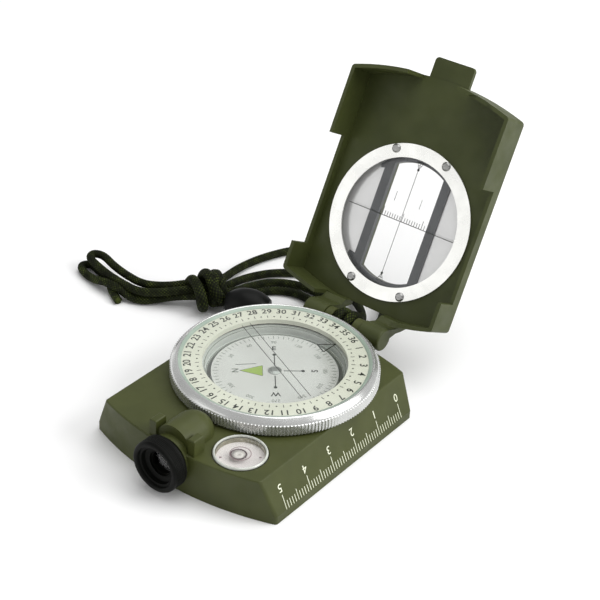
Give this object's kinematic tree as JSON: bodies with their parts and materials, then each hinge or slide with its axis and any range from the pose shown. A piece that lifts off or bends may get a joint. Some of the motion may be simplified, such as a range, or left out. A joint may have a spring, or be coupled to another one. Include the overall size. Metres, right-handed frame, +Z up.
{
  "type": "geology compass",
  "caption": "Folding lensatic geology compass: olive case with ruler slope and bubble level, turning dial, hinged cover with sighting window, eyepiece and cord lanyard.",
  "frame": {"origin": "centre of the dial, on the underside of the base where it rests", "axes": "+Z up through the dial, +Y towards the cover hinge, -Y towards the eyepiece, +X towards the side with the ruler"},
  "size_m": [0.1239, 0.1279, 0.0771],
  "materials": {
    "olive_paint": "satin",
    "satin_nickel": "satin",
    "steel": "satin",
    "black_metal": "satin",
    "black_plastic": "gloss",
    "dial_cream": "matte",
    "card_white": "matte",
    "clear_glass": "gloss",
    "clear_plastic": "gloss",
    "vial_fluid": "gloss",
    "mirror_silver": "polished",
    "brass": "satin",
    "seal_rubber": "matte",
    "magnet_steel": "matte",
    "bowl_grey": "satin",
    "cord_olive": "matte"
  },
  "bodies": {
    "base": {"base_housing": "olive_paint", "bottom_cover": "olive_paint", "bottom_screws": "steel", "vial_body": "clear_plastic", "vial_liquid": "vial_fluid", "vial_backing": "card_white", "capsule_bowl": "bowl_grey", "capsule_seal": "seal_rubber", "capsule_lens": "clear_glass", "pivot_post": "steel", "bezel_retainer": "satin_nickel", "bezel_spring": "steel", "lens_tube": "black_metal", "view_prism": "clear_glass", "hinge_pin": "steel", "lanyard_strand_a": "cord_olive", "lanyard_strand_b": "cord_olive", "lanyard_strand_c": "cord_olive", "lanyard_strand_d": "cord_olive", "lanyard_knot": "cord_olive", "lanyard_hank": "cord_olive", "lanyard_tail": "cord_olive", "lanyard_lock_cord": "cord_olive", "cord_lock": "black_plastic"},
    "bezel": {"bezel_ring": "satin_nickel", "bezel_glass": "clear_glass", "number_ring": "dial_cream"},
    "card": {"compass_card": "card_white", "card_magnet": "magnet_steel", "card_jewel": "brass"},
    "cover": {"cover_shell": "olive_paint", "window_ring": "satin_nickel", "window_screws": "steel", "sight_glass": "clear_glass", "window_gasket": "black_metal", "mirror_right": "mirror_silver", "mirror_left": "mirror_silver"},
    "lens_carriage": {"lens_cell": "black_metal", "eyepiece_lens": "clear_glass"},
    "eyepiece": {"eyepiece_ring": "black_metal"}
  },
  "joints": [
    {"name": "cover_hinge", "type": "hinge", "parent": "base", "child": "cover", "pos_m": [0, 0.0321, 0.0124], "axis": [1, 0, 0], "range_deg": [0, 118.5]},
    {"name": "bezel_turn", "type": "hinge", "parent": "base", "child": "bezel", "pos_m": [0, 0, 0.015], "axis": [0, 0, 1], "continuous": true},
    {"name": "card_swing", "type": "hinge", "parent": "base", "child": "card", "pos_m": [0, 0, 0.0126], "axis": [0, 0, 1], "continuous": true},
    {"name": "lens_focus", "type": "slide", "parent": "base", "child": "lens_carriage", "axis": [0, -1, 0], "range_m": [0, 0.0012]},
    {"name": "eyepiece_turn", "type": "hinge", "parent": "lens_carriage", "child": "eyepiece", "pos_m": [0, -0.046, 0.0091], "axis": [0, -1, 0], "range_deg": [0, 270]}
  ],
  "couplings": [
    {"joint": "lens_focus", "follows": "eyepiece_turn", "m_per_rad": 0.00025464}
  ]
}
